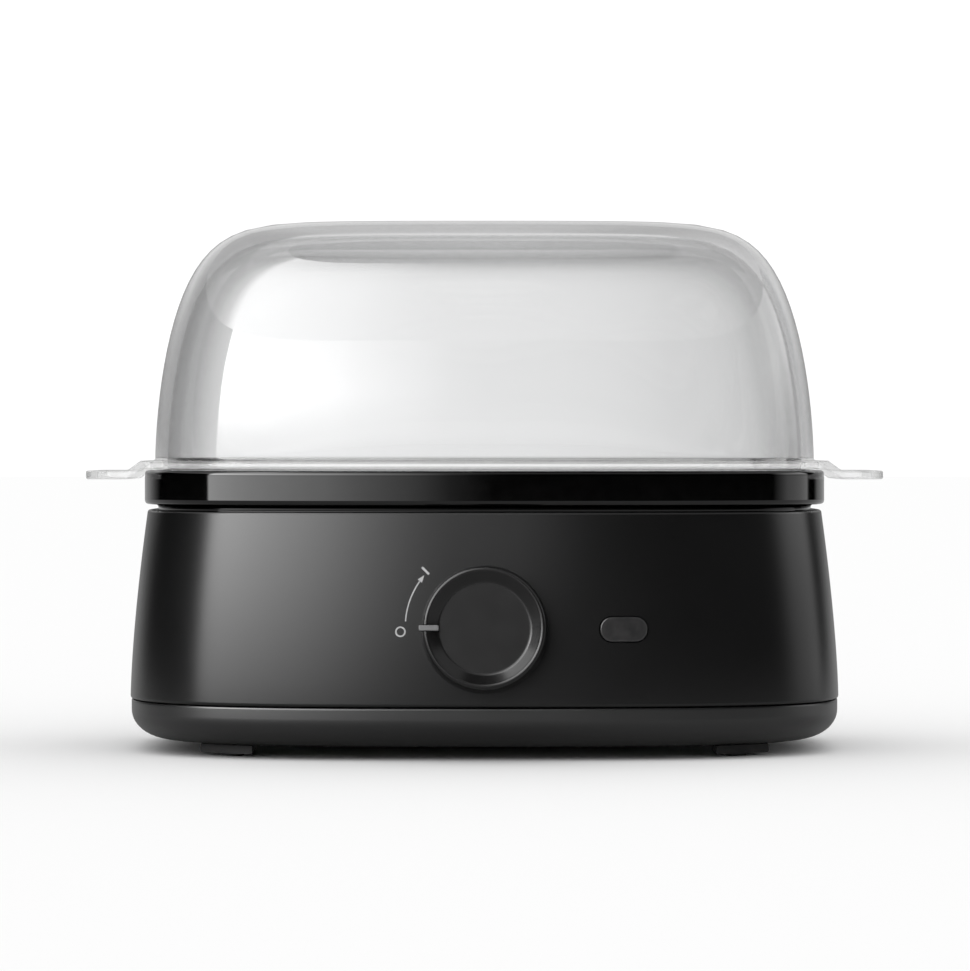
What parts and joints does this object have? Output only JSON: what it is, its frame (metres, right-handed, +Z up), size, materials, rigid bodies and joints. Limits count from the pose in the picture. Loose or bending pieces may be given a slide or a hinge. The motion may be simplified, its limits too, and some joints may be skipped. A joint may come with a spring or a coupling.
{
  "type": "egg cooker",
  "caption": "Electric egg cooker: a clear domed lid with side grips over a rounded satin body, with a glossy rim, a front dial and rubber feet.",
  "frame": {"origin": "on the surface the cooker stands on, under the middle of its whole width and depth, dial and cord gland included", "axes": "+X to the right as seen from the front, +Y from the front, which has the dial, to the back, +Z up"},
  "size_m": [0.2218, 0.1606, 0.147],
  "materials": {
    "clear_plastic": "clear, glossy",
    "glossy_black": "high gloss",
    "satin_black": "fine satin",
    "knob_black": "semi-gloss",
    "pointer_grey": "satin",
    "smoked_lens": "smoked, glossy",
    "rubber": "matt",
    "tray_black": "satin",
    "stainless_steel": "brushed",
    "zinc_plate": "bright plated",
    "silicone": "matt",
    "ceramic": "glazed",
    "board": "solder mask",
    "switch_plastic": "moulded",
    "led": "clear",
    "brown_insulation": "extruded",
    "blue_insulation": "extruded",
    "green_insulation": "extruded",
    "white_insulation": "extruded"
  },
  "bodies": {
    "base": {"rim_band": "glossy_black", "housing": "satin_black", "base_cover": "satin_black", "foot_front_left": "rubber", "foot_front_right": "rubber", "foot_rear_left": "rubber", "foot_rear_right": "rubber", "indicator_lens": "smoked_lens", "cord_grommet": "rubber", "heating_plate": "stainless_steel", "plate_seal": "silicone", "heating_element": "zinc_plate", "element_terminal_left": "ceramic", "element_terminal_right": "ceramic", "thermostat": "ceramic", "thermostat_bracket": "stainless_steel", "thermal_fuse": "zinc_plate", "fuse_clip": "stainless_steel", "heat_shield": "stainless_steel", "shield_nut_left": "zinc_plate", "shield_nut_right": "zinc_plate", "earth_tag": "zinc_plate", "switch_body": "switch_plastic", "switch_nut": "zinc_plate", "switch_bracket": "stainless_steel", "switch_screw_left": "zinc_plate", "switch_screw_right": "zinc_plate", "circuit_board": "board", "indicator_led": "led", "buzzer": "switch_plastic", "capacitor": "brown_insulation", "board_connector": "ceramic", "board_screw_lower": "zinc_plate", "board_screw_upper": "zinc_plate", "terminal_block": "ceramic", "base_screw_front_left": "zinc_plate", "base_screw_front_right": "zinc_plate", "base_screw_rear_left": "zinc_plate", "base_screw_rear_right": "zinc_plate", "live_wire": "brown_insulation", "neutral_wire": "blue_insulation", "switched_wire": "white_insulation", "element_wire": "white_insulation", "earth_wire": "green_insulation", "board_wire": "white_insulation"},
    "lid": {"lid": "clear_plastic"},
    "tray": {"egg_tray": "tray_black"},
    "dial": {"knob": "knob_black", "knob_pointer": "pointer_grey", "switch_shaft": "switch_plastic"}
  },
  "joints": [
    {"name": "lid_lift", "type": "slide", "parent": "base", "child": "lid", "axis": [0, 0, 1], "range_m": [0, 0.12]},
    {"name": "tray_lift", "type": "slide", "parent": "base", "child": "tray", "axis": [0, 0, 1], "range_m": [0, 0.06]},
    {"name": "knob_turn", "type": "hinge", "parent": "base", "child": "dial", "pos_m": [0, -0.06539, 0.0351], "axis": [0, 0.9963, -0.0862], "range_deg": [0, 45]}
  ],
  "couplings": [
    {"joint": "tray_lift", "follows": "lid_lift", "ratio": 0.5}
  ]
}
